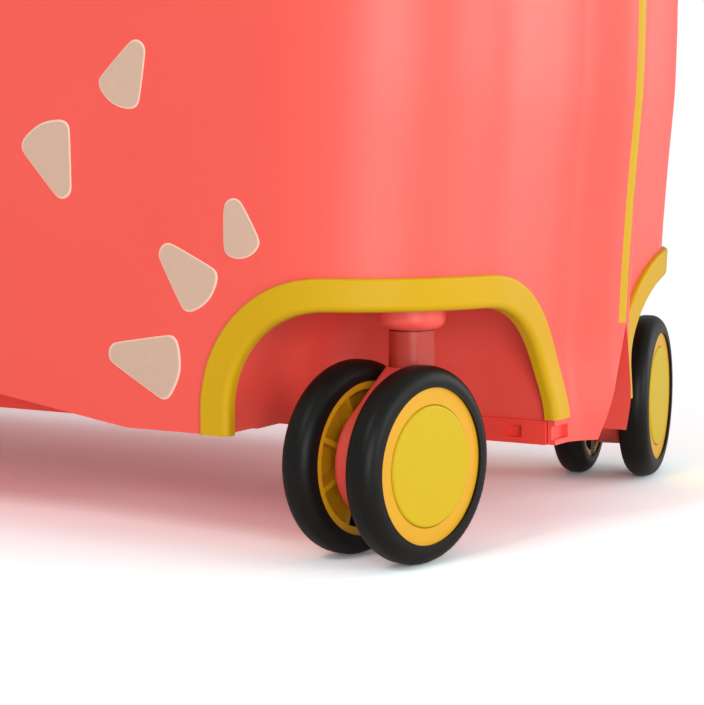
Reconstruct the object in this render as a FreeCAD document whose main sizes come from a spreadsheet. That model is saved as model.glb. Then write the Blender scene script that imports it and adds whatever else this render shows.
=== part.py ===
"""Ride-on suitcase: a clam-shell case on four twin-wheel swivel casters.

Frame: +X is the front end, +Y the rider's left, +Z up. The origin lies on the floor under the middle
of the case. Millimetres and degrees.
"""
import FreeCAD
import Part
import math
import os
import re

Vec = FreeCAD.Vector
Rot = FreeCAD.Rotation
X_AXIS = Vec(1, 0, 0)
Y_AXIS = Vec(0, 1, 0)
Z_AXIS = Vec(0, 0, 1)
ORIGIN = Vec(0, 0, 0)

# Driving lengths in millimetres
LENGTHS = {
    # Overall body, measured on the outer skin
    "half_width": 101.0,
    "belly_height": 26.0,
    "belly_reach": 223.2,
    "hem_height": 36.0,
    "hem_reach": 222.8,
    "tuck_height": 47.0,
    "tuck_reach": 221.2,
    "strip_foot_height": 60.0,
    "strip_foot_reach": 220.9,
    "chest_height": 108.0,
    "chest_reach": 223.7,
    "waist_height": 205.0,
    "waist_reach": 226.0,
    "crest_height": 312.0,
    "crest_reach": 150.0,
    "saddle_height": 284.0,
    "end_inset": 66.0,
    "top_drop": 44.0,
    "wall": 2.6,
    "floor_height": 41.5,
    "floor_wall": 3.0,
    "seam_gap": 0.2,
    # Wheel wells at the four corners
    "stem_reach": 186.0,
    "stem_side": 70.0,
    "well_rear": 42.5,
    "well_keel": 27.5,
    "well_ceiling": 69.5,
    "well_round": 22.0,
    # Wheel arch trims
    "arch_rear": 39.4,
    "arch_keel": 29.6,
    "arch_ceiling": 68.5,
    "arch_flank_round": 28.0,
    "arch_end_round": 36.6,
    "arch_band": 9.2,
    "arch_proud": 1.7,
    "arch_return": 2.2,
    "arch_lip": 2.0,
    "arch_edge": 0.9,
    "arch_foot": 33.5,
    # Notch under the seam at both ends
    "notch_half": 11.0,
    "notch_start": 150.0,
    # Skirt line of the flanks
    "skirt_low": 33.5,
    "skirt_high": 41.0,
    "skirt_low_reach": 112.0,
    "skirt_high_reach": 62.0,
    # Undertrays
    "tray_reach": 138.0,
    "tray_side": 82.0,
    "tray_seam_side": 9.2,
    "tray_bottom": 33.0,
    "tray_wall": 2.4,
    "tray_fit": 0.3,
    "tongue_reach": 208.0,
    "tongue_start": 100.0,
    "tongue_side": 28.6,
    "tongue_seam_side": 19.0,
    "window_width": 4.8,
    "window_height": 3.5,
    "window_depth": 2.0,
    "window_reach": 198.0,
    "pocket_floor": 209.4,
    "pocket_outer": 27.6,
    "pocket_inner": 19.6,
    "pocket_height": 4.0,
    # Seam strip
    "strip_width": 3.9,
    "strip_depth": 1.8,
    # Wheels
    "tyre_radius": 27.0,
    "tyre_width": 10.1,
    "tyre_shoulder": 4.2,
    "rim_radius": 21.4,
    "rim_barrel": 2.2,
    "rim_face": 4.2,
    "rim_web": 1.6,
    "rim_back": 4.4,
    "hub_radius": 5.5,
    "hub_back": 5.0,
    "rib_thickness": 1.5,
    "rib_back": 3.4,
    "cap_radius": 16.6,
    "cap_seat": 1.6,
    "cap_height": 2.2,
    "cap_edge": 0.8,
    "cap_fit": 0.15,
    "bridge_width": 5.0,
    "bridge_reach": 11.0,
    "bridge_front": 0.4,
    # Casters
    "wheel_spacing": 22.4,
    "trail": 10.9,
    "axle_radius": 2.5,
    "axle_inset": 0.3,
    "running_fit": 0.05,
    "fixed_fit": 0.02,
    "side_play": 0.1,
    "fork_thickness": 11.0,
    "fork_boss": 16.6,
    "fork_edge": 2.4,
    "fork_top": 52.0,
    "stem_radius": 6.3,
    "stem_flat": 5.3,
    "stem_top": 62.0,
    "spigot_radius": 5.0,
    "spigot_top": 84.0,
    "socket_bottom": 62.4,
    "socket_bowl": 66.0,
    "socket_flange": 9.4,
    "socket_round": 3.0,
    "socket_barrel": 8.6,
    "socket_top": 87.0,
    # Hinge under the belly
    "hinge_height": 26.0,
    "hinge_reach": 90.0,
    "knuckle_radius": 3.4,
    "knuckle_gap": 0.4,
    "hinge_pin_radius": 1.6,
    "leaf_thickness": 3.0,
    "leaf_side": 8.8,
    # Latches at both ends
    "latch_height": 200.0,
    "latch_width": 22.0,
    "pad_side": 24.0,
    "pad_inner": 6.2,
    "pad_depth": 17.0,
    "pad_proud": 0.8,
    "lever_thickness": 3.0,
    "lever_tip": 17.0,
    "lever_lip": 3.0,
    "lever_lip_proud": 2.0,
    "latch_pin_side": 17.0,
    "latch_pin_radius": 1.4,
    "latch_eye_radius": 2.9,
    "latch_ear_radius": 3.2,
    "latch_ear_height": 3.0,
    "latch_ear_gap": 0.3,
    "base_plate": 1.6,
    "base_side": 23.0,
    "keeper_half": 7.0,
    "keeper_gap": 0.4,
    # Carry handle on the saddle
    "handle_reach": 46.0,
    "handle_side": 22.0,
    "handle_height": 297.0,
    "handle_arm": 42.0,
    "handle_arm_width": 9.0,
    "handle_arm_height": 8.0,
    "grip_radius": 6.5,
    "trunnion_radius": 2.5,
    "trunnion_length": 6.0,
    "bracket_width": 8.0,
    "bracket_half": 8.0,
    "bracket_gap": 0.4,
    "bracket_crown": 6.0,
    # Screws that hold the undertrays
    "screw_head": 3.2,
    "screw_head_height": 1.8,
    "screw_shank": 1.5,
    "screw_length": 9.0,
    "screw_reach": 118.0,
    "screw_side_inner": 40.0,
    "screw_side_outer": 66.0,
    "overrun": 5.0,
}
CASTER_YAW = 11.0
RIB_COUNT = 8
KNUCKLE_COUNT = 5

# Two points nearer than this, in millimetres, are the same point
SAME_POINT = 0.01

# Share of the half width at each loft station of the spine and end face, with the share of the inset there
SPINE_SHARES = (
    (0.0, 0.0),
    (0.035, 0.008),
    (0.07, 0.040),
    (0.109, 0.094),
    (0.149, 0.147),
    (0.183, 0.177),
    (0.228, 0.188),
    (0.337, 0.191),
)

# The corner is a quarter ellipse that leaves the end face at these shares and runs out into the flank
CORNER_START_SHARES = (0.5, 0.196)
CORNER_ANGLES = (0, 12, 24, 36, 48, 60, 70, 80, 90)
SHOULDER_SHARE = 0.6
SADDLE_SHARE = 0.5
CREST_INSET_SHARE = 0.7

doc = FreeCAD.newDocument("ride_on_suitcase")
sheet = doc.addObject("Spreadsheet::Sheet", "dims")
for row, (alias, value) in enumerate(LENGTHS.items(), start=1):
    sheet.set("A%d" % row, alias)
    sheet.set("B%d" % row, str(value))
    sheet.setAlias("B%d" % row, alias)
doc.recompute()
SUBPARTS = []
AXIS_TURNS = {"x": Rot(Y_AXIS, 90), "y": Rot(X_AXIS, -90), "z": Rot()}


def dim(alias):
    """Value of one cell."""
    return float(sheet.get(alias))


def cells(text):
    """Expression on the sheet: every word of the text names a cell."""
    return re.sub(r"[a-z]\w*", lambda word: "dims." + word.group(), text)


def bind_base(obj, corner):
    """Tie the position of an object to three expressions."""
    for axis, text in zip("xyz", corner):
        obj.setExpression("Placement.Base." + axis, cells(text))


def box(name, x, y, z):
    """Box between a lower and an upper expression on each axis."""
    obj = doc.addObject("Part::Box", name)
    for size, (low, high) in zip(("Length", "Width", "Height"), (x, y, z)):
        obj.setExpression(size, cells("(%s) - (%s)" % (high, low)))
    bind_base(obj, (x[0], y[0], z[0]))
    return obj


def cylinder(name, radius, start, length, axis="z"):
    """Cylinder along an axis from its start point."""
    obj = doc.addObject("Part::Cylinder", name)
    obj.Placement = FreeCAD.Placement(ORIGIN, AXIS_TURNS[axis])
    obj.setExpression("Radius", cells(radius))
    obj.setExpression("Height", cells(length))
    bind_base(obj, start)
    return obj


def solid(name, shape):
    """Document object for a form that no primitive or sketch gives."""
    obj = doc.addObject("Part::Feature", name)
    obj.Shape = shape
    return obj


def fuse(name, shapes):
    """Union of several objects."""
    obj = doc.addObject("Part::MultiFuse", name)
    obj.Shapes = shapes
    obj.Refine = True
    return obj


def common(name, shapes):
    """Space shared by all objects."""
    obj = doc.addObject("Part::MultiCommon", name)
    obj.Shapes = shapes
    return obj


def cut(name, base, *tools):
    """Base less every tool in turn."""
    for number, tool in enumerate(tools, start=1):
        obj = doc.addObject("Part::Cut", name if number == len(tools) else "%s_%d" % (name, number))
        obj.Base = base
        obj.Tool = tool
        base = obj
    return base


def group(name, shapes):
    """Several separate solids kept as one object."""
    obj = doc.addObject("Part::Compound", name)
    obj.Links = shapes
    return obj


def mirrored(name, source, normal):
    """Copy of an object mirrored in a plane through the origin."""
    obj = doc.addObject("Part::Mirroring", name)
    obj.Source = source
    obj.Base = ORIGIN
    obj.Normal = normal
    return obj


def both_ends(name, front):
    """Front object with its copy at the rear."""
    return [front, mirrored(name, front, X_AXIS)]


def subpart(label, obj):
    """Name a finished piece and keep it for the export."""
    obj.Label = label
    SUBPARTS.append(obj)
    return obj


def rounded(name, base, radius, keep):
    """Fillet on every edge of the base whose middle point passes the test."""
    doc.recompute()
    edges = []
    for number, edge in enumerate(base.Shape.Edges, start=1):
        middle = edge.valueAt((edge.FirstParameter + edge.LastParameter) / 2)
        if keep(middle):
            edges.append((number, radius, radius))
    obj = doc.addObject("Part::Fillet", name)
    obj.Base = base
    obj.Edges = edges
    return obj


def touches(obj, point):
    """Whether a point lies on the surface of an object."""
    return obj.Shape.Shells[0].distToShape(Part.Vertex(point))[0] < SAME_POINT


def padded(name, role, geometry, length):
    """Body with one sketch on an origin plane, padded to both sides of it."""
    body = doc.addObject("PartDesign::Body", name)
    sketch = body.newObject("Sketcher::SketchObject", name + "_sketch")
    plane = [feature for feature in body.Origin.OriginFeatures if feature.Role == role][0]
    sketch.AttachmentSupport = (plane, [""])
    sketch.MapMode = "FlatFace"
    for piece in geometry:
        sketch.addGeometry(piece, False)
    pad = body.newObject("PartDesign::Pad", name + "_pad")
    pad.Profile = sketch
    pad.setExpression("Length", cells(length))
    pad.Midplane = True
    return body


def bezier(*poles):
    """Edge along a Bezier curve."""
    curve = Part.BezierCurve()
    curve.setPoles(list(poles))
    return curve.toBSpline().toShape()


def end_edge(points):
    """Edge through the points of an end profile, upright at its upper end."""
    curve = Part.BSplineCurve()
    span = points[-1] - points[0]
    start = points[1] - points[0]
    curve.interpolate(Points=points, InitialTangent=start, FinalTangent=Z_AXIS * span.Length)
    return curve.toShape()


def body_outline(side, inset_share, grow):
    """Closed outline of the case in the upright plane at one distance from the seam."""
    inset = dim("end_inset") * inset_share
    drop = dim("top_drop") * inset_share

    def point(reach, height, end):
        return Vec(end * reach, -side, height)

    levels = ("belly", "hem", "tuck", "strip_foot", "chest", "waist")
    profile = [(dim(level + "_reach"), dim(level + "_height")) for level in levels]
    crest_reach = dim("crest_reach") - inset * CREST_INSET_SHARE
    crest_height = dim("crest_height") - drop + grow
    saddle_height = dim("saddle_height") - drop + grow
    waist_reach = dim("waist_reach") - inset + grow
    waist_height = dim("waist_height")
    rise = (crest_height - waist_height) * SHOULDER_SHARE
    run = (waist_reach - crest_reach) * SHOULDER_SHARE
    swing = crest_reach * SADDLE_SHARE
    ends = []
    for end in (1, -1):
        lower = end_edge([point(reach - inset + grow, height, end) for reach, height in profile])
        shoulder = bezier(
            point(waist_reach, waist_height, end),
            point(waist_reach, waist_height + rise, end),
            point(crest_reach + run, crest_height, end),
            point(crest_reach, crest_height, end),
        )
        saddle = bezier(
            point(crest_reach, crest_height, end),
            point(crest_reach - swing, crest_height, end),
            point(swing, saddle_height, end),
            point(0, saddle_height, end),
        )
        ends.append((lower, shoulder, saddle))
    corners = [lower.valueAt(lower.FirstParameter) for lower, _, _ in ends]
    base = Part.makeLine(corners[1], corners[0])
    return Part.Wire([base, *ends[0], ends[1][2], ends[1][1], ends[1][0]])


def station_shares():
    """Shares of half width and inset at each loft station: the spine's table, then the corner's ellipse."""
    side, inset = CORNER_START_SHARES
    shares = list(SPINE_SHARES)
    for angle in CORNER_ANGLES:
        turn = math.radians(angle)
        shares.append((side + (1 - side) * math.sin(turn), 1 - (1 - inset) * math.cos(turn)))
    return shares


def half_body(grow, seam_side):
    """Solid half of the case: outlines on planes beside the seam, lofted out to the flank."""
    wires = []
    for side_share, inset_share in station_shares():
        side = side_share * (dim("half_width") + grow)
        wires.append(body_outline(max(side, seam_side), inset_share, grow))
    return Part.makeLoft(wires, True, False)


def corner_block(name, rear, keel, ceiling, radius, growth=None):
    """Block that fills the front right corner from below, with its three inner edges rounded."""
    more = " + " + growth if growth else ""
    block = box(
        name + "_block",
        ("stem_reach - (%s%s)" % (rear, more), "waist_reach + overrun"),
        ("-half_width - 2 * overrun", "-%s%s" % (keel, more)),
        ("-overrun", ceiling + more),
    )
    grown = dim(growth) if growth else 0.0
    faces = (dim("stem_reach") - dim(rear) - grown, grown - dim(keel), dim(ceiling) + grown)

    def inner_edge(middle):
        return sum(abs(a - b) < SAME_POINT for a, b in zip(middle, faces)) == 2

    return rounded(name, block, dim(radius) + grown, inner_edge)


def arch_block(name, growth=None):
    """Space under the arch line: a prism rounded as seen on the flank, shared with one rounded on the end."""
    more = " + " + growth if growth else ""
    grown = dim(growth) if growth else 0.0
    rear = dim("stem_reach") - dim("arch_rear") - grown
    keel = grown - dim("arch_keel")
    top = dim("arch_ceiling") + grown
    front = "waist_reach + overrun"
    outside = "-half_width - 2 * overrun"
    heights = ("-overrun", "arch_ceiling" + more)
    behind = "stem_reach - (arch_rear%s)" % more
    flank_box = box(name + "_flank_box", (behind, front), (outside, "0"), heights)
    end_box = box(name + "_end_box", ("0", front), (outside, "-arch_keel" + more), heights)
    flank_prism = rounded(
        name + "_flank_prism", flank_box, dim("arch_flank_round") + grown,
        lambda middle: abs(middle.x - rear) < SAME_POINT and abs(middle.z - top) < SAME_POINT,
    )
    end_prism = rounded(
        name + "_end_prism", end_box, dim("arch_end_round") + grown,
        lambda middle: abs(middle.y - keel) < SAME_POINT and abs(middle.z - top) < SAME_POINT,
    )
    return common(name, [flank_prism, end_prism])


def prism(name, points, depth):
    """Straight prism on a polygon."""
    face = Part.Face(Part.makePolygon(points + points[:1]))
    return solid(name, face.extrude(depth))


def notch(name, growth):
    """Wedge under the seam at the front end, where the two keels part."""
    start = dim("notch_start") - growth
    depth = dim("waist_reach") + dim("overrun") - start
    top = dim("strip_foot_height") + growth
    bottom = dim("belly_height") - dim("overrun")
    slope = dim("notch_half") / (dim("strip_foot_height") - dim("belly_height"))
    far = dim("overrun")
    corners = ((-growth, top), (-growth - slope * (top - bottom), bottom), (far, bottom), (far, top))
    return prism(name, [Vec(start, y, z) for y, z in corners], X_AXIS * depth)


def skirt_cut(name):
    """Space under the flank: its upper face follows the skirt line."""
    side = -dim("tray_side") - dim("tray_fit")
    low = -dim("overrun")
    end = dim("waist_reach")
    line = [
        (end, dim("skirt_low")),
        (dim("skirt_low_reach"), dim("skirt_low")),
        (dim("skirt_high_reach"), dim("skirt_high")),
    ]
    line += [(-x, z) for x, z in reversed(line)]
    points = [Vec(x, side, z) for x, z in line + [(-end, low), (end, low)]]
    return prism(name, points, Y_AXIS * -(dim("half_width") + side + dim("overrun")))


# Half shell, modelled on the right side
outer_body = solid("outer_body", half_body(0.0, dim("seam_gap") / 2))
inner_body = solid("inner_body", half_body(-dim("wall"), 0.0))
front_well = corner_block("front_well", "well_rear", "well_keel", "well_ceiling", "well_round")
well_lining = corner_block("well_lining", "well_rear", "well_keel", "well_ceiling", "well_round", "wall")
wells = both_ends("rear_well", front_well)
notches = both_ends("rear_notch", notch("front_notch", 0.0))
linings = both_ends("rear_well_lining", well_lining)
linings += both_ends("rear_notch_lining", notch("front_notch_lining", dim("wall")))
latch_pad = box(
    "latch_pad",
    ("waist_reach - pad_depth", "waist_reach + pad_proud"),
    ("-pad_side", "-pad_inner"),
    ("latch_height - latch_width / 2", "latch_height + latch_width / 2"),
)
latch_boss = cut("latch_boss", latch_pad, inner_body)
keel_pocket = box(
    "keel_pocket",
    ("pocket_floor", "waist_reach + overrun"),
    ("-pocket_outer", "-pocket_inner"),
    ("(belly_height + tray_bottom - pocket_height) / 2", "(belly_height + tray_bottom + pocket_height) / 2"),
)
floor_slab = box(
    "floor_slab",
    ("-waist_reach - overrun", "waist_reach + overrun"),
    ("-half_width - overrun", "overrun"),
    ("-overrun", "floor_height + floor_wall"),
)
interior = cut("interior", inner_body, floor_slab, *linings)
walls = cut("walls", outer_body, interior)
socket_hole = cylinder(
    "socket_hole", "socket_barrel + fixed_fit", ("stem_reach", "-stem_side", "socket_bowl"),
    "socket_top - socket_bowl",
)
keel_clearance = box(
    "keel_clearance",
    ("-tongue_reach - tray_fit", "tongue_reach + tray_fit"),
    ("-tray_side - tray_fit", "overrun"),
    ("-overrun", "tray_bottom"),
)
tray_pocket = box(
    "tray_pocket",
    ("-tray_reach - tray_fit", "tray_reach + tray_fit"),
    ("-tray_side - tray_fit", "overrun"),
    ("-overrun", "floor_height"),
)
shell_blank = fuse("shell_blank", [walls, *both_ends("rear_latch_boss", latch_boss)])
half_shell = cut(
    "half_shell", shell_blank, *wells, *notches, *both_ends("rear_socket_hole", socket_hole),
    *both_ends("rear_keel_pocket", keel_pocket), keel_clearance, tray_pocket, skirt_cut("skirt_clearance"),
)

# Seam strip, let into the right half
strip_core = solid("strip_core", half_body(-dim("strip_depth"), 0.0))
strip_band = box(
    "strip_band",
    ("-waist_reach - overrun", "waist_reach + overrun"),
    ("-strip_width - seam_gap / 2", "0"),
    ("strip_foot_height", "crest_height + overrun"),
)
seam_strip = common("seam_strip", [cut("strip_ring", outer_body, strip_core), strip_band])
screw_places = [
    (reach, side)
    for reach in ("screw_reach", "-screw_reach")
    for side in ("-screw_side_inner", "-screw_side_outer")
]
screw_run = "screw_length + screw_head_height"
screw_holes = [
    cylinder("tray_screw_hole", "screw_shank + fixed_fit", (*place, "tray_bottom"), screw_run)
    for place in screw_places
]
right_shell = cut("right_shell", half_shell, seam_strip, *screw_holes)
left_shell = mirrored("left_shell", cut("left_blank", half_shell, *screw_holes), Y_AXIS)
subpart("right_shell", right_shell)
subpart("left_shell", left_shell)
subpart("seam_strip", seam_strip)

# Wheel arch trims: a proud band on the skin with a return into the well
proud_body = solid("proud_body", half_body(dim("arch_proud"), 0.0))
under_body = solid("under_body", half_body(-dim("arch_return"), 0.0))
arch_outer = arch_block("arch_outer", "arch_band")
arch_inner = arch_block("arch_inner")
below_foot = box(
    "below_foot",
    ("0", "waist_reach + 2 * overrun"),
    ("-half_width - 2 * overrun", "overrun"),
    ("-overrun", "arch_foot"),
)
arch_skin = cut("arch_skin", proud_body, under_body)
arch_band = cut("arch_band", arch_outer, arch_inner, below_foot)
skin_beside_well = cut("skin_beside_well", outer_body, front_well)
sharp_trim = cut("sharp_trim", common("arch_blank", [arch_skin, arch_band]), skin_beside_well)
lipped_trim = rounded(
    "lipped_trim", sharp_trim, dim("arch_lip"),
    lambda middle: touches(proud_body, middle) and touches(arch_inner, middle),
)
arch_trim = rounded(
    "arch_trim", lipped_trim, dim("arch_edge"),
    lambda middle: touches(proud_body, middle) and touches(arch_outer, middle),
)
subpart("front_right_arch_trim", arch_trim)
subpart("rear_right_arch_trim", mirrored("rear_right_arch", arch_trim, X_AXIS))
left_arch = subpart("front_left_arch_trim", mirrored("front_left_arch", arch_trim, Y_AXIS))
subpart("rear_left_arch_trim", mirrored("rear_left_arch", left_arch, X_AXIS))

# Undertrays with tongues below the keels
tray = box(
    "tray", ("-tray_reach", "tray_reach"), ("-tray_side", "-tray_seam_side"), ("tray_bottom", "floor_height")
)
tray_hollow = box(
    "tray_hollow",
    ("-tray_reach + tray_wall", "tray_reach - tray_wall"),
    ("-tray_side + tray_wall", "-tray_seam_side - tray_wall"),
    ("tray_bottom + tray_wall", "floor_height + overrun"),
)
tongue = box(
    "tongue",
    ("tongue_start", "tongue_reach"),
    ("-tongue_side", "-tongue_seam_side"),
    ("belly_height", "tray_bottom"),
)
window = box(
    "window",
    ("window_reach - window_width / 2", "window_reach + window_width / 2"),
    ("-tongue_side - overrun", "-tongue_side + window_depth"),
    ("(belly_height + tray_bottom - window_height) / 2", "(belly_height + tray_bottom + window_height) / 2"),
)
bosses = [
    cylinder("tray_boss", "screw_head + tray_wall", (*place, "tray_bottom"), "floor_height - tray_bottom")
    for place in screw_places
]
head_seats = [
    cylinder(
        "head_seat", "screw_head + fixed_fit", (*place, "tray_bottom - overrun"),
        "screw_head_height + overrun",
    )
    for place in screw_places
]
screws = [
    fuse(
        "tray_screw",
        [
            cylinder("screw_head", "screw_head", (*place, "tray_bottom"), "screw_head_height"),
            cylinder("screw_shank", "screw_shank", (*place, "tray_bottom"), screw_run),
        ],
    )
    for place in screw_places
]
undertray = cut(
    "undertray",
    fuse("tray_blank", [cut("tray_shell", tray, tray_hollow), *bosses, *both_ends("rear_tongue", tongue)]),
    *both_ends("rear_window", window), *head_seats, *screw_holes,
)
right_screws = group("right_screws", screws)
subpart("right_undertray", undertray)
subpart("left_undertray", mirrored("left_tray", undertray, Y_AXIS))
subpart("right_undertray_screws", right_screws)
subpart("left_undertray_screws", mirrored("left_screws", right_screws, Y_AXIS))

# Swivel sockets in the ceilings of the wells
stem_axis = ("stem_reach", "-stem_side")
socket_cup = cylinder(
    "socket_cup", "socket_flange", (*stem_axis, "socket_bottom"), "well_ceiling - socket_bottom"
)
soft_cup = rounded(
    "soft_cup", socket_cup, dim("socket_round"),
    lambda middle: abs(middle.z - dim("socket_bottom")) < SAME_POINT,
)
socket_sleeve = cylinder(
    "socket_sleeve", "socket_barrel", (*stem_axis, "socket_bowl"), "socket_top - socket_bowl"
)
socket_blank = fuse("socket_blank", [soft_cup, socket_sleeve])
socket_bore = cylinder(
    "socket_bore", "spigot_radius + running_fit", (*stem_axis, "socket_bottom - overrun"),
    "spigot_top - socket_bottom + overrun + side_play",
)
front_socket = cut("front_socket", socket_blank, socket_bore)
right_sockets = group("right_sockets", both_ends("rear_socket", front_socket))
subpart("right_caster_sockets", right_sockets)
subpart("left_caster_sockets", mirrored("left_sockets", right_sockets, Y_AXIS))


def tangent_point(centre, radius, outside, turn):
    """Point where the line from a point outside touches a circle, to the left or right of the centre."""
    away = outside - centre
    angle = math.atan2(away.y, away.x) + turn * math.acos(radius / away.Length)
    return centre + Vec(math.cos(angle), math.sin(angle), 0) * radius


def fork_sketch():
    """Outline of the fork leg: a boss round the axle drawn up to the foot of the stem."""
    centre = Vec(-dim("trail"), dim("tyre_radius"), 0)
    boss = dim("fork_boss")
    left_top = Vec(-dim("stem_radius"), dim("fork_top"), 0)
    right_top = Vec(dim("stem_radius"), dim("fork_top"), 0)
    left = tangent_point(centre, boss, left_top, 1)
    right = tangent_point(centre, boss, right_top, -1)
    under = centre - Vec(0, boss, 0)
    return [
        Part.LineSegment(left_top, left),
        Part.Arc(left, under, right),
        Part.LineSegment(right, right_top),
        Part.LineSegment(right_top, left_top),
    ]


def make_fork(label, placement):
    """Fork leg with thrust faces for the hubs and a bore for the axle."""
    axle_line = ("-trail", "tyre_radius")
    thrust = "wheel_spacing / 2 - hub_back - side_play"
    leg = padded(label + "_leg", "YZ_Plane", fork_sketch(), "fork_thickness")
    flank = dim("fork_thickness") / 2
    soft_leg = rounded(
        label + "_soft_leg", leg, dim("fork_edge"),
        lambda middle: abs(abs(middle.x) - flank) < SAME_POINT and middle.z < dim("fork_top") - SAME_POINT,
    )
    thrust_boss = cylinder(
        label + "_boss", "hub_radius", ("-(%s)" % thrust, *axle_line), "2 * (%s)" % thrust, "x"
    )
    bore = cylinder(
        label + "_bore", "axle_radius + fixed_fit", ("-wheel_spacing", *axle_line), "2 * wheel_spacing", "x"
    )
    fork = cut(label, fuse(label + "_blank", [soft_leg, thrust_boss]), bore)
    fork.Placement = placement
    return subpart(label, fork)


def make_stem(label, placement):
    """Frosted sleeve with two flats on the fork, and the spigot that turns in the socket."""
    foot = ("0", "0", "fork_top")
    barrel = cylinder(label + "_barrel", "stem_radius", foot, "stem_top - fork_top")
    flats = box(
        label + "_flats",
        ("-stem_flat", "stem_flat"),
        ("-stem_radius", "stem_radius"),
        ("fork_top", "stem_top"),
    )
    spigot = cylinder(label + "_spigot", "spigot_radius", foot, "spigot_top - fork_top")
    stem = fuse(label, [common(label + "_sleeve", [barrel, flats]), spigot])
    stem.Placement = placement
    return subpart(label, stem)


def make_axle(label, placement):
    """Steel pin under the hub caps of both wheels."""
    half = "wheel_spacing / 2 + rim_face - cap_seat - axle_inset"
    end = ("-(%s)" % half, "-trail", "tyre_radius")
    axle = group(label, [cylinder(label + "_pin", "axle_radius", end, "2 * (%s)" % half, "x")])
    axle.Placement = placement
    return subpart(label, axle)


def rubber_bridge(name):
    """Radial key of rubber that locks the tyre into a notch of the rim."""
    return box(
        name,
        ("-rim_back", "-bridge_front"),
        ("-bridge_width / 2", "bridge_width / 2"),
        ("-rim_radius - rim_barrel", "-bridge_reach"),
    )


def make_tyre(label, placement):
    """Tyre with round shoulders. The wheel turns about X and its outer face looks along +X."""
    band = cylinder(label + "_band", "tyre_radius", ("-tyre_width / 2", "0", "0"), "tyre_width", "x")
    seat = cylinder(label + "_seat", "rim_radius", ("-tyre_width", "0", "0"), "2 * tyre_width", "x")
    shoulders = rounded(
        label + "_round", band, dim("tyre_shoulder"), lambda middle: abs(middle.x) > SAME_POINT
    )
    tyre = fuse(label, [cut(label + "_ring", shoulders, seat), rubber_bridge(label + "_bridge")])
    tyre.Placement = placement
    return subpart(label, tyre)


def make_rim(label, placement):
    """Rim with a flat face, a seat for the cap, a hub tube and radial ribs on its back."""
    face = cylinder(label + "_face", "rim_radius", ("rim_web", "0", "0"), "rim_face - rim_web", "x")
    drum = cylinder(label + "_drum", "rim_radius", ("-rim_back", "0", "0"), "rim_back + rim_web", "x")
    hollow = cylinder(
        label + "_hollow", "rim_radius - rim_barrel", ("-tyre_width", "0", "0"), "2 * tyre_width", "x"
    )
    barrel = cut(label + "_barrel", drum, hollow)
    hub = cylinder(label + "_hub", "hub_radius", ("-hub_back", "0", "0"), "hub_back + rim_web", "x")
    rib = box(
        label + "_rib",
        ("-rib_back", "rim_web"),
        ("-rib_thickness / 2", "rib_thickness / 2"),
        ("0", "rim_radius - rim_barrel / 2"),
    )
    ribs = []
    for number in range(RIB_COUNT):
        turned = group(label + "_turned_rib", [rib])
        turned.Placement = FreeCAD.Placement(ORIGIN, Rot(X_AXIS, (2 * number + 1) * 180.0 / RIB_COUNT))
        ribs.append(turned)
    cap_recess = cylinder(
        label + "_recess", "cap_radius + cap_fit", ("rim_face - cap_seat", "0", "0"), "tyre_width", "x"
    )
    bore = cylinder(
        label + "_bore", "axle_radius + running_fit", ("-tyre_width", "0", "0"), "2 * tyre_width", "x"
    )
    blank = fuse(label + "_blank", [face, barrel, hub, *ribs])
    rim = cut(label, blank, cap_recess, bore, rubber_bridge(label + "_notch"))
    rim.Placement = placement
    return subpart(label, rim)


def make_cap(label, placement):
    """Hub cap with a rounded rim."""
    disc = cylinder(label + "_disc", "cap_radius", ("rim_face - cap_seat", "0", "0"), "cap_height", "x")
    top = dim("rim_face") - dim("cap_seat") + dim("cap_height")
    cap = rounded(label, disc, dim("cap_edge"), lambda middle: abs(middle.x - top) < SAME_POINT)
    cap.Placement = placement
    return subpart(label, cap)


# Casters: all four trail outward and a little to the rear
for side_name, side_sign, yaw in (("right", -1, -CASTER_YAW), ("left", 1, 180.0 + CASTER_YAW)):
    for end_name, end_sign in (("front", 1), ("rear", -1)):
        caster_name = end_name + "_" + side_name
        stem_base = Vec(end_sign * dim("stem_reach"), side_sign * dim("stem_side"), 0)
        caster = FreeCAD.Placement(stem_base, Rot(Z_AXIS, yaw))
        make_fork(caster_name + "_fork", caster)
        make_stem(caster_name + "_stem", caster)
        make_axle(caster_name + "_axle", caster)
        for wheel_name, wheel_sign in (("inner", -1), ("outer", 1)):
            hub_base = Vec(wheel_sign * dim("wheel_spacing") / 2, -dim("trail"), dim("tyre_radius"))
            wheel = caster.multiply(FreeCAD.Placement(hub_base, Rot(Z_AXIS, 90.0 - 90.0 * wheel_sign)))
            piece_name = caster_name + "_" + wheel_name
            make_tyre(piece_name + "_tyre", wheel)
            make_rim(piece_name + "_rim", wheel)
            make_cap(piece_name + "_hub_cap", wheel)


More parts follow.
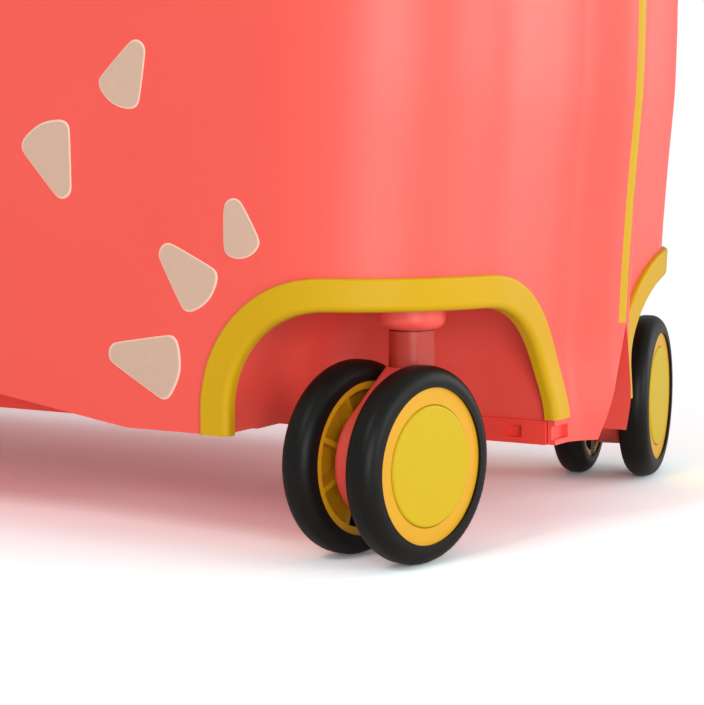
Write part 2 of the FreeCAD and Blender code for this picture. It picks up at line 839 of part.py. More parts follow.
def hinge_leaf(name, first, fit):
    """Leaf under the floor of the right half, with every second knuckle from the first one on."""
    knuckle_edge = "knuckle_radius + knuckle_gap"
    pieces = [
        box(
            name + "_plate",
            ("-hinge_reach", "hinge_reach"),
            ("-leaf_side", "-(%s)" % knuckle_edge),
            ("floor_height - leaf_thickness", "floor_height"),
        )
    ]
    for number in range(first, KNUCKLE_COUNT, 2):
        start = "-hinge_reach + %d * 2 * hinge_reach / %d + knuckle_gap / 2" % (number, KNUCKLE_COUNT)
        run = "2 * hinge_reach / %d - knuckle_gap" % KNUCKLE_COUNT
        pieces.append(cylinder(name + "_knuckle", "knuckle_radius", (start, "0", "hinge_height"), run, "x"))
        pieces.append(
            box(
                name + "_web",
                (start, start + " + " + run),
                ("-(%s) - knuckle_gap" % knuckle_edge, "-hinge_pin_radius"),
                ("hinge_height", "floor_height"),
            )
        )
    bore = cylinder(
        name + "_bore", "hinge_pin_radius + " + fit, ("-hinge_reach - overrun", "0", "hinge_height"),
        "2 * (hinge_reach + overrun)", "x",
    )
    return cut(name, fuse(name + "_blank", pieces), bore)


# Hinge under the belly: its axis is level with the keels, so they part freely as the case opens
subpart("right_hinge_leaf", hinge_leaf("right_leaf", 0, "fixed_fit"))
subpart("left_hinge_leaf", mirrored("left_leaf", hinge_leaf("left_leaf_source", 1, "running_fit"), Y_AXIS))
pin = cylinder("hinge_rod", "hinge_pin_radius", ("-hinge_reach", "0", "hinge_height"), "2 * hinge_reach", "x")
subpart("hinge_pin", group("hinge_pin", [pin]))

# Latches: a base and a lever on the right half, a magnet keeper on the left half
pad_face = "waist_reach + pad_proud"
pin_reach = pad_face + " + base_plate + latch_ear_radius"
latch_low = "latch_height - latch_width / 2"
latch_high = "latch_height + latch_width / 2"
base_plate = box(
    "base_plate",
    (pad_face, pad_face + " + base_plate"),
    ("-base_side", "-pad_inner"),
    (latch_low, latch_high),
)
ears = []
for ear_low in (latch_low, latch_high + " - latch_ear_height"):
    ears.append(
        box(
            "latch_ear",
            (pad_face, pin_reach),
            ("-latch_pin_side - latch_ear_radius", "-latch_pin_side + latch_ear_radius"),
            (ear_low, ear_low + " + latch_ear_height"),
        )
    )
    ears.append(
        cylinder("ear_round", "latch_ear_radius", (pin_reach, "-latch_pin_side", ear_low), "latch_ear_height")
    )
ear_bore = cylinder(
    "ear_bore", "latch_pin_radius + fixed_fit", (pin_reach, "-latch_pin_side", latch_low + " - overrun"),
    "latch_width + 2 * overrun",
)
front_base = cut("front_base", fuse("base_blank", [base_plate, *ears]), ear_bore)
subpart("latch_bases", group("latch_bases", both_ends("rear_base", front_base)))
latch_rod = cylinder(
    "latch_rod", "latch_pin_radius", (pin_reach, "-latch_pin_side", latch_low), "latch_width"
)
subpart("latch_pins", group("latch_pins", both_ends("rear_rod", latch_rod)))
lever_low = latch_low + " + latch_ear_height + latch_ear_gap"
lever_high = latch_high + " - latch_ear_height - latch_ear_gap"
lever_plate = box(
    "lever_plate",
    (pin_reach + " - lever_thickness / 2", pin_reach + " + lever_thickness / 2"),
    ("-latch_pin_side", "lever_tip"),
    (lever_low, lever_high),
)
lever_eye = cylinder(
    "lever_eye", "latch_eye_radius", (pin_reach, "-latch_pin_side", lever_low),
    "latch_width - 2 * (latch_ear_height + latch_ear_gap)",
)
lever_lip = box(
    "lever_lip",
    (pin_reach, pin_reach + " + lever_thickness / 2 + lever_lip_proud"),
    ("lever_tip - lever_lip", "lever_tip"),
    (lever_low, lever_high),
)
lever_bore = cylinder(
    "lever_bore", "latch_pin_radius + running_fit", (pin_reach, "-latch_pin_side", latch_low + " - overrun"),
    "latch_width + 2 * overrun",
)
front_lever = cut("front_lever", fuse("lever_blank", [lever_plate, lever_eye, lever_lip]), lever_bore)
subpart("front_latch_lever", front_lever)
subpart("rear_latch_lever", mirrored("rear_lever", front_lever, X_AXIS))
keeper = box(
    "keeper",
    (pad_face, pin_reach + " - lever_thickness / 2 - keeper_gap"),
    ("pad_inner", "lever_tip"),
    ("latch_height - keeper_half", "latch_height + keeper_half"),
)
subpart("latch_keepers", group("latch_keepers", both_ends("rear_keeper", keeper)))

# Carry handle folded to the right on the saddle
arm_half = "handle_arm_width / 2"
grip_centre = "-handle_side - handle_arm"
arm = box(
    "handle_arm_box",
    ("handle_reach - " + arm_half, "handle_reach + " + arm_half),
    (grip_centre, "-handle_side + handle_arm_height / 2"),
    ("handle_height - handle_arm_height / 2", "handle_height + handle_arm_height / 2"),
)
trunnion = cylinder(
    "trunnion", "trunnion_radius", ("handle_reach", "-handle_side", "handle_height"),
    arm_half + " + bracket_gap + trunnion_length", "x",
)
grip = cylinder(
    "grip", "grip_radius", ("-handle_reach - " + arm_half, grip_centre, "handle_height"),
    "2 * handle_reach + handle_arm_width", "x",
)
subpart(
    "carry_handle",
    fuse("carry_handle", [grip, *both_ends("left_arm", arm), *both_ends("left_trunnion", trunnion)]),
)
bracket_start = "handle_reach + %s + bracket_gap" % arm_half
bracket_block = box(
    "bracket_block",
    (bracket_start, bracket_start + " + bracket_width"),
    ("-handle_side - bracket_half", "-handle_side + bracket_half"),
    ("saddle_height - top_drop", "handle_height"),
)
bracket_head = cylinder(
    "bracket_head", "bracket_crown", (bracket_start, "-handle_side", "handle_height"), "bracket_width", "x"
)
trunnion_hole = cylinder(
    "trunnion_hole", "trunnion_radius + running_fit", (bracket_start, "-handle_side", "handle_height"),
    "trunnion_length + bracket_gap", "x",
)
bracket_blank = fuse("bracket_blank", [bracket_block, bracket_head])
front_bracket = cut("front_bracket", bracket_blank, outer_body, trunnion_hole)
subpart("handle_brackets", group("handle_brackets", both_ends("rear_bracket", front_bracket)))

doc.recompute()
os.makedirs("parts", exist_ok=True)
for obj in doc.Objects:
    if "Invalid" in obj.State or "Error" in obj.State:
        raise RuntimeError("feature failed: " + obj.Label)
for piece in SUBPARTS:
    if piece.Shape.isNull() or not piece.Shape.isValid():
        raise RuntimeError("no valid solid: " + piece.Label)
    piece.Shape.exportStep("parts/%s.step" % piece.Label)
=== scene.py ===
"""Ride-on suitcase: finishes, flank spots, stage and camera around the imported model.

Metres in the part's own frame: +X is the front end, +Y the rider's left, +Z up.
"""
import math

import bpy
import numpy as np
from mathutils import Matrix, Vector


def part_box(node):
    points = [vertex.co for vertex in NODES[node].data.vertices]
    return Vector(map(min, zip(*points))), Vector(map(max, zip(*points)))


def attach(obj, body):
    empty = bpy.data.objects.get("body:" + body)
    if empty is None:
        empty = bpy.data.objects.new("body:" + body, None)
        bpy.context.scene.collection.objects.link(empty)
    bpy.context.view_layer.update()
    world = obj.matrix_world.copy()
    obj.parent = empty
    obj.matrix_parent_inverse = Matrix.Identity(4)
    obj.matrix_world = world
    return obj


bl_info = {
    "name": "Ride-on suitcase",
    "version": (1, 0, 0),
    "blender": (4, 5, 0),
    "location": "View3D > Sidebar > Suitcase",
    "description": "Finishes, flank spots and a studio stage for a ride-on suitcase",
    "category": "Object",
}

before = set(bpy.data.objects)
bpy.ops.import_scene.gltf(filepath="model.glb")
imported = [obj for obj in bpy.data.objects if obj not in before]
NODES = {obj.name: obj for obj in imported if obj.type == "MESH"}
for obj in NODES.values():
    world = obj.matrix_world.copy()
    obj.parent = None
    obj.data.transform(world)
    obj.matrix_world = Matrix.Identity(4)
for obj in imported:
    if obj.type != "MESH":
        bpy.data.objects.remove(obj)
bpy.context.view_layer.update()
MM = 0.001

# Sides of the case: the sign of Y on the right and on the left half
RIGHT, LEFT = -1, 1
CAD_FLANK = {RIGHT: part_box("right_shell")[0].y, LEFT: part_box("left_shell")[1].y}

# Sockets of a colour mix go by number, because their names repeat for every kind of data
MIX_SHARE, MIX_FROM, MIX_TO, MIX_RESULT = 0, 6, 7, 2

# Flank spots in millimetres: tip x, tip z, heading of the tip in degrees from +X towards +Z, length, width
SPOTS = (
    (92.0, 97.5, -68.0, 23.0, 18.0),
    (147.2, 98.4, 105.0, 17.0, 12.2),
    (124.4, 84.8, 137.0, 21.5, 15.6),
    (106.2, 54.8, 170.0, 25.0, 18.4),
    (58.0, 131.0, -35.0, 19.0, 14.0),
    (118.0, 141.0, 62.0, 20.0, 15.0),
    (137.0, 178.0, 118.0, 18.0, 13.5),
    (88.0, 190.0, -15.0, 23.0, 17.0),
    (40.0, 196.0, 80.0, 18.0, 13.0),
    (14.0, 151.0, 150.0, 22.0, 16.5),
    (20.0, 96.0, 35.0, 17.0, 12.5),
    (-36.0, 120.0, -80.0, 21.0, 16.0),
    (-30.0, 186.0, 20.0, 23.0, 17.0),
    (-72.0, 165.0, 128.0, 17.0, 12.5),
    (-84.0, 112.0, 55.0, 22.0, 17.0),
    (-62.0, 70.0, -150.0, 18.0, 13.0),
    (-118.0, 139.0, -40.0, 20.0, 15.0),
    (-112.0, 196.0, 165.0, 21.0, 16.0),
    (-132.0, 94.0, 100.0, 18.0, 13.0),
)
# Base corners of a spot, as a share of the way from its tip to its bulge
BASE_SHARE = 0.9
# Width over which the discs of a spot's rim blend
RIM_BLEND = 1.1 * MM
# Innermost ring of a spot, as a share of the way from its middle to its rim
CORE_SHARE = 0.02

# Studio lamps in metres: name, place, target, width and the setting with the power
LAMPS = (
    ("key", (-0.1, -1.5, 1.35), (0.1, -0.05, 0.05), 0.5, "key_power"),
    ("fill", (1.9, 0.15, 0.4), (0.2, 0.0, 0.1), 0.8, "fill_power"),
    ("rim", (1.15, 1.2, 0.4), (0.2, 0.0, 0.1), 0.8, "rim_power"),
    ("low", (1.15, -1.2, 0.2), (0.18, -0.05, 0.05), 0.7, "low_power"),
)
WHITE = (1.0, 1.0, 1.0, 1.0)
FLOOR_HALF = 5.0
# The floor lies this far under the tyres
FLOOR_DROP = 0.2 * MM
# Distances from the middle of the floor between which it fades to white for the camera
FADE_START, FADE_END = 0.35, 0.8
# Camera: width of its sensor in millimetres, and nearest distance that it sees
SENSOR_WIDTH = 36.0
NEAR_CLIP = 0.01


def linear(code):
    """Linear RGBA of an sRGB hex code."""
    share = np.array([int(code[start:start + 2], 16) for start in (1, 3, 5)]) / 255
    value = np.where(share <= 0.04045, share / 12.92, ((share + 0.055) / 1.055) ** 2.4)
    return (*value.tolist(), 1.0)


def tint_property(name, description, code):
    """Colour setting with its default as a hex code."""
    return bpy.props.FloatVectorProperty(
        name=name, description=description, default=linear(code), subtype="COLOR", size=4, min=0.0, max=1.0
    )


def length_property(name, description, millimetres):
    """Length setting in metres with its default in millimetres."""
    return bpy.props.FloatProperty(
        name=name, description=description, default=millimetres * MM, min=0.0, unit="LENGTH", precision=5
    )


def turn_property(name, description, degrees):
    """Angle setting in radians with its default in degrees."""
    return bpy.props.FloatProperty(
        name=name, description=description, default=math.radians(degrees), unit="ROTATION"
    )


def power_property(name, description, watts):
    """Power setting of a lamp in watts."""
    return bpy.props.FloatProperty(name=name, description=description, default=watts, min=0.0, unit="POWER")


class SuitcaseColours(bpy.types.PropertyGroup):
    """Colours of the finishes."""

    coral: tint_property("Coral", "Shells, caster sockets and forks", "#F25A4E")
    coral_flow: tint_property("Coral flow", "Slightly deeper coral where the melt flowed", "#EE5246")
    tray: tint_property("Tray coral", "Undertrays and hinge leaves", "#F4493D")
    tray_flow: tint_property("Tray flow", "Deeper coral of the undertrays", "#EE4237")
    frost: tint_property("Frosted coral", "Translucent caster stems", "#C43021")
    frost_cloud: tint_property("Frost cloud", "Paler clouds in the stems", "#CE4432")
    mustard: tint_property("Mustard", "Arch trims, strip, latches and handle", "#CEA508")
    mustard_flow: tint_property("Mustard flow", "Deeper mustard where the melt flowed", "#C79D05")
    rim: tint_property("Rim yellow", "Wheel rims", "#DCA61A")
    rim_flow: tint_property("Rim flow", "Deeper rim yellow", "#D69E14")
    cap: tint_property("Cap yellow", "Hub caps", "#CDB012")
    cap_flow: tint_property("Cap flow", "Deeper cap yellow", "#C6A90E")
    rubber: tint_property("Tyre black", "Tyres", "#0F0F0E")
    rubber_bloom: tint_property("Tyre bloom", "Greyer bloom on the tyres", "#151514")
    steel: tint_property("Steel", "Pins, axles and screws", "#C4C4C6")
    cream: tint_property("Cream", "Printed film of the spots", "#D4B6A0")
    cream_fleck: tint_property("Cream fleck", "Darker flecks in the film", "#C6A58F")
    cream_edge: tint_property("Cream edge", "Cut edge of the film", "#F1CDB8")


class SuitcaseSizes(bpy.types.PropertyGroup):
    """Sizes of the pieces made here."""

    film: length_property("Film thickness", "Thickness of the spots' film", 0.25)
    film_edge: length_property("Film edge", "Width of the film's rounded edge", 0.5)
    corner: length_property("Spot corner", "Radius of a spot's corners", 3.4)


class SuitcaseStage(bpy.types.PropertyGroup):
    """Camera, floor and light."""

    eye: bpy.props.FloatVectorProperty(
        name="Camera place", description="Where the camera stands", default=(0.45996, -0.59228, 0.12115),
        subtype="TRANSLATION", unit="LENGTH",
    )
    azimuth: turn_property("Azimuth", "Turn of the camera from +Y towards -X", 29.27)
    pitch: turn_property("Pitch", "Tilt of the camera below the horizon", 6.33)
    lens: bpy.props.FloatProperty(
        name="Lens", description="Focal length in millimetres", default=109.93, unit="CAMERA"
    )
    floor_tint: tint_property("Floor", "Pale studio floor", "#F4F3F2")
    floor_cast: tint_property("Floor cast", "Cool tone in which the camera sees the floor", "#F4FDFF")
    floor_lift: bpy.props.FloatProperty(
        name="Floor lift", description="How much brighter the camera sees the lit floor",
        default=1.68, min=1.0,
    )
    sky_level: bpy.props.FloatProperty(
        name="Sky level", description="Strength of the even light", default=0.47, min=0.0
    )
    key_power: power_property("Key power", "Raised lamp in front of the flank", 7.5)
    fill_power: power_property("Fill power", "Soft lamp in front of the end face", 10.0)
    rim_power: power_property("Rim power", "Soft lamp behind the far corner", 6.0)
    low_power: power_property("Low power", "Low soft lamp that looks into the wheel wells", 13.0)


def put(owner, kind, links=None, **settings):
    """Adds one node to a material or world.

    Settings are the node's attributes, and links are its inputs by name or number.
    """
    node = owner.node_tree.nodes.new(kind)
    for name, value in settings.items():
        setattr(node, name, value)
    for key, value in (links or {}).items():
        if isinstance(value, bpy.types.NodeSocket):
            owner.node_tree.links.new(value, node.inputs[key])
        else:
            node.inputs[key].default_value = value
    return node


def blank_material(name):
    """Material with an empty node tree."""
    material = bpy.data.materials.new(name)
    material.use_nodes = True
    material.node_tree.nodes.clear()
    return material


def close(material, shader):
    """Joins the last shader to the material's output."""
    put(material, "ShaderNodeOutputMaterial", {"Surface": shader})
    return material


def moulded(
    name, base, flow, flow_size, grain_size, relief, roughness, ior, roughness_swing=0.05, sheen=0.5
):
    """Moulded polymer: two close tones drift over flow_size, and the tool's grain roughens the skin.

    The grain is drawn coarser than a real tool's, so that it shows.
    """
    material = blank_material(name)
    place = put(material, "ShaderNodeTexCoord").outputs["Object"]
    drift = put(
        material, "ShaderNodeTexNoise", {"Vector": place, "Scale": 1 / flow_size, "Detail": 3.0}
    ).outputs["Fac"]
    tone = put(
        material, "ShaderNodeMix", {MIX_SHARE: drift, MIX_FROM: base, MIX_TO: flow}, data_type="RGBA"
    ).outputs[MIX_RESULT]
    grain = put(
        material, "ShaderNodeTexNoise", {"Vector": place, "Scale": 1 / grain_size, "Detail": 2.0}
    ).outputs["Fac"]
    gloss = put(
        material, "ShaderNodeMapRange",
        {"Value": grain, "To Min": roughness - roughness_swing, "To Max": roughness + roughness_swing},
    ).outputs["Result"]
    bump = put(
        material, "ShaderNodeBump", {"Height": grain, "Strength": 0.35, "Distance": relief}
    ).outputs["Normal"]
    shader = put(
        material, "ShaderNodeBsdfPrincipled",
        {"Base Color": tone, "Roughness": gloss, "IOR": ior, "Normal": bump, "Specular IOR Level": sheen},
    )
    return close(material, shader.outputs["BSDF"])


def coral_abs(colours):
    """Injection-moulded ABS from a spark-eroded tool: a satin skin with soft, wide highlights."""
    return moulded(
        "coral_abs_satin", colours.coral, colours.coral_flow, flow_size=70 * MM, grain_size=0.7 * MM,
        relief=0.03 * MM, roughness=0.42, ior=1.54,
    )


def coral_polypropylene(colours):
    """Moulded polypropylene of the undertrays: a little deeper and waxier than the shells."""
    return moulded(
        "coral_polypropylene", colours.tray, colours.tray_flow, flow_size=45 * MM, grain_size=0.9 * MM,
        relief=0.03 * MM, roughness=0.46, ior=1.49,
    )


def mustard_abs(colours):
    """Moulded ABS trim with a satin skin: warm yellow with faint flow marks."""
    return moulded(
        "mustard_abs_satin", colours.mustard, colours.mustard_flow, flow_size=40 * MM, grain_size=0.6 * MM,
        relief=0.03 * MM, roughness=0.45, ior=1.54, sheen=0.2,
    )


def rim_nylon(colours):
    """Moulded nylon of the rims: orange-yellow with a waxy sheen."""
    return moulded(
        "rim_yellow_nylon", colours.rim, colours.rim_flow, flow_size=12 * MM, grain_size=0.5 * MM,
        relief=0.02 * MM, roughness=0.40, ior=1.53, sheen=0.35,
    )


def cap_abs(colours):
    """Moulded ABS of the hub caps with a fine frosted face."""
    return moulded(
        "cap_yellow_abs", colours.cap, colours.cap_flow, flow_size=18 * MM, grain_size=0.45 * MM,
        relief=0.02 * MM, roughness=0.48, ior=1.54, sheen=0.2,
    )


def tyre_rubber(colours):
    """Moulded polyurethane tyre: near black, matte, with a grey bloom that softens the highlights."""
    return moulded(
        "tyre_rubber", colours.rubber, colours.rubber_bloom, flow_size=9 * MM, grain_size=0.6 * MM,
        relief=0.03 * MM, roughness=0.42, ior=1.52, roughness_swing=0.07, sheen=0.16,
    )


def frosted_polypropylene(colours):
    """Unfilled polypropylene of the stems: light scatters inside, with pale clouds and a blurred skin."""
    cloud_size, grit_size, relief = 4 * MM, 0.5 * MM, 0.03 * MM
    scatter = (4 * MM, 1.5 * MM, 1.2 * MM)
    material = blank_material("frosted_polypropylene")
    place = put(material, "ShaderNodeTexCoord").outputs["Object"]
    cloud = put(
        material, "ShaderNodeTexNoise", {"Vector": place, "Scale": 1 / cloud_size, "Detail": 4.0}
    ).outputs["Fac"]
    tone = put(
        material, "ShaderNodeMix", {MIX_SHARE: cloud, MIX_FROM: colours.frost, MIX_TO: colours.frost_cloud},
        data_type="RGBA",
    ).outputs[MIX_RESULT]
    grit = put(material, "ShaderNodeTexNoise", {"Vector": place, "Scale": 1 / grit_size}).outputs["Fac"]
    bump = put(
        material, "ShaderNodeBump", {"Height": grit, "Strength": 0.3, "Distance": relief}
    ).outputs["Normal"]
    shader = put(
        material, "ShaderNodeBsdfPrincipled",
        {
            "Base Color": tone, "Roughness": 0.38, "IOR": 1.49, "Normal": bump, "Transmission Weight": 0.2,
            "Subsurface Weight": 0.3, "Subsurface Radius": scatter, "Subsurface Scale": 1.0,
        },
    )
    return close(material, shader.outputs["BSDF"])


def drawn_steel(colours):
    """Drawn steel wire and turned screws: fine lines along X with uneven polish."""
    line_width, relief, stretch = 0.25 * MM, 0.01 * MM, (0.05, 1.0, 1.0)
    polished, dull = 0.22, 0.42
    material = blank_material("drawn_steel")
    place = put(material, "ShaderNodeTexCoord").outputs["Object"]
    along = put(material, "ShaderNodeMapping", {"Vector": place, "Scale": stretch}).outputs["Vector"]
    lines = put(
        material, "ShaderNodeTexNoise", {"Vector": along, "Scale": 1 / line_width, "Detail": 3.0}
    ).outputs["Fac"]
    gloss = put(
        material, "ShaderNodeMapRange", {"Value": lines, "To Min": polished, "To Max": dull}
    ).outputs["Result"]
    bump = put(
        material, "ShaderNodeBump", {"Height": lines, "Strength": 0.2, "Distance": relief}
    ).outputs["Normal"]
    shader = put(
        material, "ShaderNodeBsdfPrincipled",
        {"Base Color": colours.steel, "Metallic": 1.0, "Roughness": gloss, "Normal": bump},
    )
    return close(material, shader.outputs["BSDF"])


def cream_film(colours):
    """Printed vinyl film of the spots: fine flecks on a matte cream, paler towards the rim of each spot.

    The flecks are drawn 0.5 mm wide, coarser than the print's grit, so that they show.
    """
    fleck_size, relief = 0.5 * MM, 0.02 * MM
    # Shares of the way to the rim over which the cream turns paler
    edge_start_share, edge_end_share = 0.93, 0.97
    material = blank_material("cream_vinyl_film")
    place = put(material, "ShaderNodeTexCoord").outputs["Object"]
    fleck = put(
        material, "ShaderNodeTexNoise", {"Vector": place, "Scale": 1 / fleck_size, "Detail": 3.0}
    ).outputs["Fac"]
    print_tone = put(
        material, "ShaderNodeMix", {MIX_SHARE: fleck, MIX_FROM: colours.cream_fleck, MIX_TO: colours.cream},
        data_type="RGBA",
    ).outputs[MIX_RESULT]
    rim_share = put(material, "ShaderNodeAttribute", attribute_name="rim_share").outputs["Fac"]
    edge = put(
        material, "ShaderNodeMapRange",
        {"Value": rim_share, "From Min": edge_start_share, "From Max": edge_end_share},
    ).outputs["Result"]
    tone = put(
        material, "ShaderNodeMix", {MIX_SHARE: edge, MIX_FROM: print_tone, MIX_TO: colours.cream_edge},
        data_type="RGBA",
    ).outputs[MIX_RESULT]
    bump = put(
        material, "ShaderNodeBump", {"Height": fleck, "Strength": 0.2, "Distance": relief}
    ).outputs["Normal"]
    shader = put(
        material, "ShaderNodeBsdfPrincipled",
        {"Base Color": tone, "Roughness": 0.55, "IOR": 1.53, "Normal": bump},
    )
    return close(material, shader.outputs["BSDF"])


def dress(material, names):
    """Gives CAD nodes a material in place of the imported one."""
    if not names:
        raise RuntimeError(f"no CAD node wears {material.name}")
    for name in names:
        for slot in NODES[name].material_slots:
            slot.material = material


def names_ending(*endings):
    """CAD nodes whose names end in one of the words."""
    return [name for name in NODES if name.endswith(endings)]


def grid_faces(rows, columns, offset):
    """Quads of a grid that closes on itself along its columns, as vertex numbers."""
    first = np.arange(rows - 1)[:, None] * columns
    second = first + columns
    column = np.arange(columns)[None, :]
    after = (column + 1) % columns
    corners = np.stack([first + column, first + after, second + after, second + column], axis=-1)
    return corners.reshape(-1, 4) + offset


def spot_surface(spot, side, sizes, rings=12, spokes=72):
    """Film spot on a flank: its points, and the share of the way from middle to rim at each of them.

    The rim is the hull of four discs, a tip, two base corners and a bulge between them: for each heading
    the point is the disc centre furthest that way plus the corner radius, with the four centres blended by
    a soft maximum. Rings shrink that rim to its middle, and the height above the flank is
    film * sqrt(1 - e * e), where e runs from 0 to 1 over the film's edge.
    """
    tip_x, tip_z, heading, length, width = spot
    reach = length * MM - 2 * sizes.corner
    half = width * MM / 2 - sizes.corner
    base = -BASE_SHARE * reach
    centres = np.array([(0.0, 0.0), (base, half), (base, -half), (-reach, 0.0)])
    angle = np.linspace(0, 2 * np.pi, spokes, endpoint=False)
    way = np.stack([np.cos(angle), np.sin(angle)], axis=1)
    pull = np.exp(way @ centres.T / RIM_BLEND)
    rim = (pull / pull.sum(axis=1, keepdims=True)) @ centres + sizes.corner * way
    middle = rim.mean(axis=0)
    share = np.sin(np.linspace(CORE_SHARE, 1, rings) * np.pi / 2)
    flat = middle + share[:, None, None] * (rim - middle)
    turn = math.radians(heading)
    along = np.array([math.cos(turn), math.sin(turn)])
    across = np.array([-along[1], along[0]])
    tip = np.array([tip_x, tip_z]) * MM - sizes.corner * along
    place = tip + flat[..., :1] * along + flat[..., 1:] * across
    inset = (1 - share) * np.linalg.norm(rim - middle, axis=1).mean()
    edge = np.clip(1 - inset / sizes.film_edge, 0, 1)
    height = sizes.film * np.sqrt(1 - edge * edge)
    wall = abs(CAD_FLANK[side]) + height
    points = np.empty((rings, spokes, 3))
    points[..., 0] = place[..., 0]
    points[..., 1] = (side * wall)[:, None]
    points[..., 2] = place[..., 1]
    return points, np.broadcast_to(share[:, None], (rings, spokes))


def film_spots(name, body, side, sizes, material):
    """All spots of one flank as one printed film set, each a grid of rings with a face over its core."""
    points, shares, faces, start = [], [], [], 0
    for spot in SPOTS:
        grid, share = spot_surface(spot, side, sizes)
        rings, spokes = share.shape
        core = np.arange(spokes)[::-1] + start
        points.append(grid.reshape(-1, 3))
        shares.append(share.ravel())
        faces += grid_faces(rings, spokes, start).tolist()
        faces.append(core.tolist())
        start += rings * spokes
    if side == LEFT:
        faces = [face[::-1] for face in faces]
    mesh = bpy.data.meshes.new(name)
    mesh.from_pydata(np.concatenate(points).tolist(), [], faces)
    mesh.attributes.new("rim_share", "FLOAT", "POINT").data.foreach_set(
        "value", np.concatenate(shares).astype(np.float32)
    )
    mesh.materials.append(material)
    mesh.shade_smooth()
    spots = bpy.data.objects.new(name, mesh)
    bpy.context.scene.collection.objects.link(spots)
    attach(spots, body)


class SUITCASE_OT_shells(bpy.types.Operator):
    """Satin coral ABS on both half shells, the caster sockets and the forks."""

    bl_idname = "suitcase.shells"
    bl_label = "Half shells"

    def execute(self, context):
        dress(coral_abs(context.scene.suitcase_colours), names_ending("_shell", "_sockets", "_fork"))
        return {"FINISHED"}


class SUITCASE_OT_undertrays(bpy.types.Operator):
    """Coral polypropylene on the undertrays and the hinge leaves."""

    bl_idname = "suitcase.undertrays"
    bl_label = "Undertrays"

    def execute(self, context):
        dress(coral_polypropylene(context.scene.suitcase_colours), names_ending("_undertray", "_leaf"))
        return {"FINISHED"}


class SUITCASE_OT_trims(bpy.types.Operator):
    """Mustard ABS on the arch trims, the seam strip, the latches and the handle."""

    bl_idname = "suitcase.trims"
    bl_label = "Trims, latches and handle"

    def execute(self, context):
        trims = names_ending(
            "_trim", "seam_strip", "latch_bases", "_lever", "latch_keepers", "carry_handle",
            "handle_brackets",
        )
        dress(mustard_abs(context.scene.suitcase_colours), trims)
        return {"FINISHED"}


class SUITCASE_OT_wheels(bpy.types.Operator):
    """Tyres, rims and hub caps of the eight wheels."""

    bl_idname = "suitcase.wheels"
    bl_label = "Wheels"

    def execute(self, context):
        colours = context.scene.suitcase_colours
        dress(tyre_rubber(colours), names_ending("_tyre"))
        dress(rim_nylon(colours), names_ending("_rim"))
        dress(cap_abs(colours), names_ending("_hub_cap"))
        return {"FINISHED"}


class SUITCASE_OT_stems(bpy.types.Operator):
    """Frosted sleeves of the caster stems."""

    bl_idname = "suitcase.stems"
    bl_label = "Caster stems"

    def execute(self, context):
        dress(frosted_polypropylene(context.scene.suitcase_colours), names_ending("_stem"))
        return {"FINISHED"}


class SUITCASE_OT_pins(bpy.types.Operator):
    """Drawn steel on pins, axles and screws."""

    bl_idname = "suitcase.pins"
    bl_label = "Pins and screws"

    def execute(self, context):
        pins = names_ending("_pin", "_pins", "_axle", "_screws")
        dress(drawn_steel(context.scene.suitcase_colours), pins)
        return {"FINISHED"}


class SUITCASE_OT_spots(bpy.types.Operator):
    """Printed cream spots on both flanks."""

    bl_idname = "suitcase.spots"
    bl_label = "Flank spots"

    def execute(self, context):
        film = cream_film(context.scene.suitcase_colours)
        sizes = context.scene.suitcase_sizes
        film_spots("right_flank_spots", "right_half", RIGHT, sizes, film)
        film_spots("left_flank_spots", "left_half", LEFT, sizes, film)
        return {"FINISHED"}


def floor_material(stage):
    """Pale floor: the camera sees it lifted to white where it is lit, so that only shadows show."""
    material = blank_material("studio_floor")
    path = put(material, "ShaderNodeLightPath").outputs
    lifted = (*(stage.floor_lift * share for share in stage.floor_cast[:3]), 1.0)
    tint = put(
        material, "ShaderNodeMix",
        {MIX_SHARE: path["Is Camera Ray"], MIX_FROM: stage.floor_tint, MIX_TO: lifted}, data_type="RGBA",
    ).outputs[MIX_RESULT]
    near = put(material, "ShaderNodeBsdfDiffuse", {"Color": tint}).outputs["BSDF"]
    place = put(material, "ShaderNodeTexCoord").outputs["Object"]
    reach = put(material, "ShaderNodeVectorMath", {0: place}, operation="LENGTH").outputs["Value"]
    far = put(
        material, "ShaderNodeMapRange", {"Value": reach, "From Min": FADE_START, "From Max": FADE_END},
        interpolation_type="SMOOTHSTEP",
    ).outputs["Result"]
    share = put(
        material, "ShaderNodeMath", {0: far, 1: path["Is Camera Ray"]}, operation="MULTIPLY"
    ).outputs["Value"]
    white = put(material, "ShaderNodeEmission", {"Strength": 1.0}).outputs["Emission"]
    shader = put(material, "ShaderNodeMixShader", {0: share, 1: near, 2: white}).outputs["Shader"]
    return close(material, shader)


def studio_floor(stage):
    """Square floor just under the tyres."""
    across = np.array([(-1, -1), (1, -1), (1, 1), (-1, 1)]) * FLOOR_HALF
    corners = np.column_stack([across, np.full(len(across), -FLOOR_DROP)])
    mesh = bpy.data.meshes.new("floor")
    mesh.from_pydata(corners.tolist(), [], [range(len(corners))])
    mesh.materials.append(floor_material(stage))
    floor = bpy.data.objects.new("floor", mesh)
    bpy.context.scene.collection.objects.link(floor)


def studio_world(stage):
    """Even light all round, which the camera sees as white, also through the stems."""
    world = bpy.data.worlds.new("studio")
    world.use_nodes = True
    world.node_tree.nodes.clear()
    path = put(world, "ShaderNodeLightPath").outputs
    seen = put(
        world, "ShaderNodeMath", {0: path["Is Camera Ray"], 1: path["Is Transmission Ray"]},
        operation="MAXIMUM",
    ).outputs["Value"]
    sky = put(
        world, "ShaderNodeBackground", {"Color": WHITE, "Strength": stage.sky_level}
    ).outputs["Background"]
    white = put(world, "ShaderNodeBackground", {"Color": WHITE, "Strength": 1.0}).outputs["Background"]
    mix = put(world, "ShaderNodeMixShader", {0: seen, 1: sky, 2: white}).outputs["Shader"]
    put(world, "ShaderNodeOutputWorld", {"Surface": mix})
    bpy.context.scene.world = world


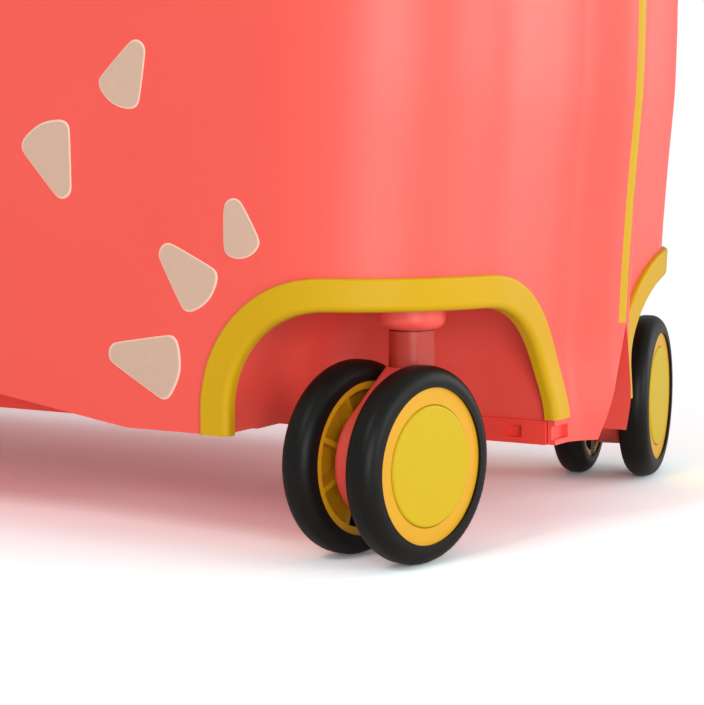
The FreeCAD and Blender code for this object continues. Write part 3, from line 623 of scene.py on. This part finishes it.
def studio_lamp(name, place, target, width, power):
    """Square area lamp at a place, turned to a target and hidden from the camera."""
    lamp = bpy.data.lights.new(name, "AREA")
    lamp.shape = "SQUARE"
    lamp.size = width
    lamp.energy = power
    holder = bpy.data.objects.new(name, lamp)
    holder.location = place
    holder.visible_camera = False
    aim = np.array(target) - np.array(place)
    tilt = math.acos(-aim[2] / np.linalg.norm(aim))
    holder.rotation_euler = (tilt, 0, math.atan2(aim[1], aim[0]) - math.pi / 2)
    bpy.context.scene.collection.objects.link(holder)


def photo_camera(stage):
    """The photograph's camera."""
    lens = bpy.data.cameras.new("camera")
    lens.sensor_width = SENSOR_WIDTH
    lens.lens = stage.lens
    lens.clip_start = NEAR_CLIP
    camera = bpy.data.objects.new("camera", lens)
    camera.location = stage.eye
    camera.rotation_euler = (math.pi / 2 - stage.pitch, 0, stage.azimuth)
    bpy.context.scene.collection.objects.link(camera)
    bpy.context.scene.camera = camera


class SUITCASE_OT_stage(bpy.types.Operator):
    """Pale floor, soft studio light and the camera."""

    bl_idname = "suitcase.stage"
    bl_label = "Stage"

    def execute(self, context):
        stage = context.scene.suitcase_stage
        studio_floor(stage)
        studio_world(stage)
        for name, place, target, width, power in LAMPS:
            studio_lamp(name, place, target, width, getattr(stage, power))
        photo_camera(stage)
        context.scene.view_settings.view_transform = "Standard"
        return {"FINISHED"}


OPERATORS = (
    SUITCASE_OT_shells, SUITCASE_OT_undertrays, SUITCASE_OT_trims, SUITCASE_OT_wheels, SUITCASE_OT_stems,
    SUITCASE_OT_pins, SUITCASE_OT_spots, SUITCASE_OT_stage,
)


class SUITCASE_PT_panel(bpy.types.Panel):
    """Sidebar panel that lists the steps and their settings."""

    bl_label = "Ride-on suitcase"
    bl_space_type = "VIEW_3D"
    bl_region_type = "UI"
    bl_category = "Suitcase"

    def draw(self, context):
        for operator in OPERATORS:
            self.layout.operator(operator.bl_idname)
        scene = context.scene
        for group in (scene.suitcase_colours, scene.suitcase_sizes, scene.suitcase_stage):
            box = self.layout.box()
            for name in group.__annotations__:
                box.prop(group, name)


CLASSES = (SuitcaseColours, SuitcaseSizes, SuitcaseStage, *OPERATORS, SUITCASE_PT_panel)


def register():
    """Registers the classes and hangs the settings on the scene."""
    for cls in CLASSES:
        bpy.utils.register_class(cls)
    bpy.types.Scene.suitcase_colours = bpy.props.PointerProperty(type=SuitcaseColours)
    bpy.types.Scene.suitcase_sizes = bpy.props.PointerProperty(type=SuitcaseSizes)
    bpy.types.Scene.suitcase_stage = bpy.props.PointerProperty(type=SuitcaseStage)


def unregister():
    """Takes the settings and classes away again."""
    for name in ("suitcase_stage", "suitcase_sizes", "suitcase_colours"):
        delattr(bpy.types.Scene, name)
    for cls in reversed(CLASSES):
        bpy.utils.unregister_class(cls)


def main():
    """Runs every step in order."""
    register()
    for operator in OPERATORS:
        group, step = operator.bl_idname.split(".")
        getattr(getattr(bpy.ops, group), step)()


if __name__ == "__main__":
    main()
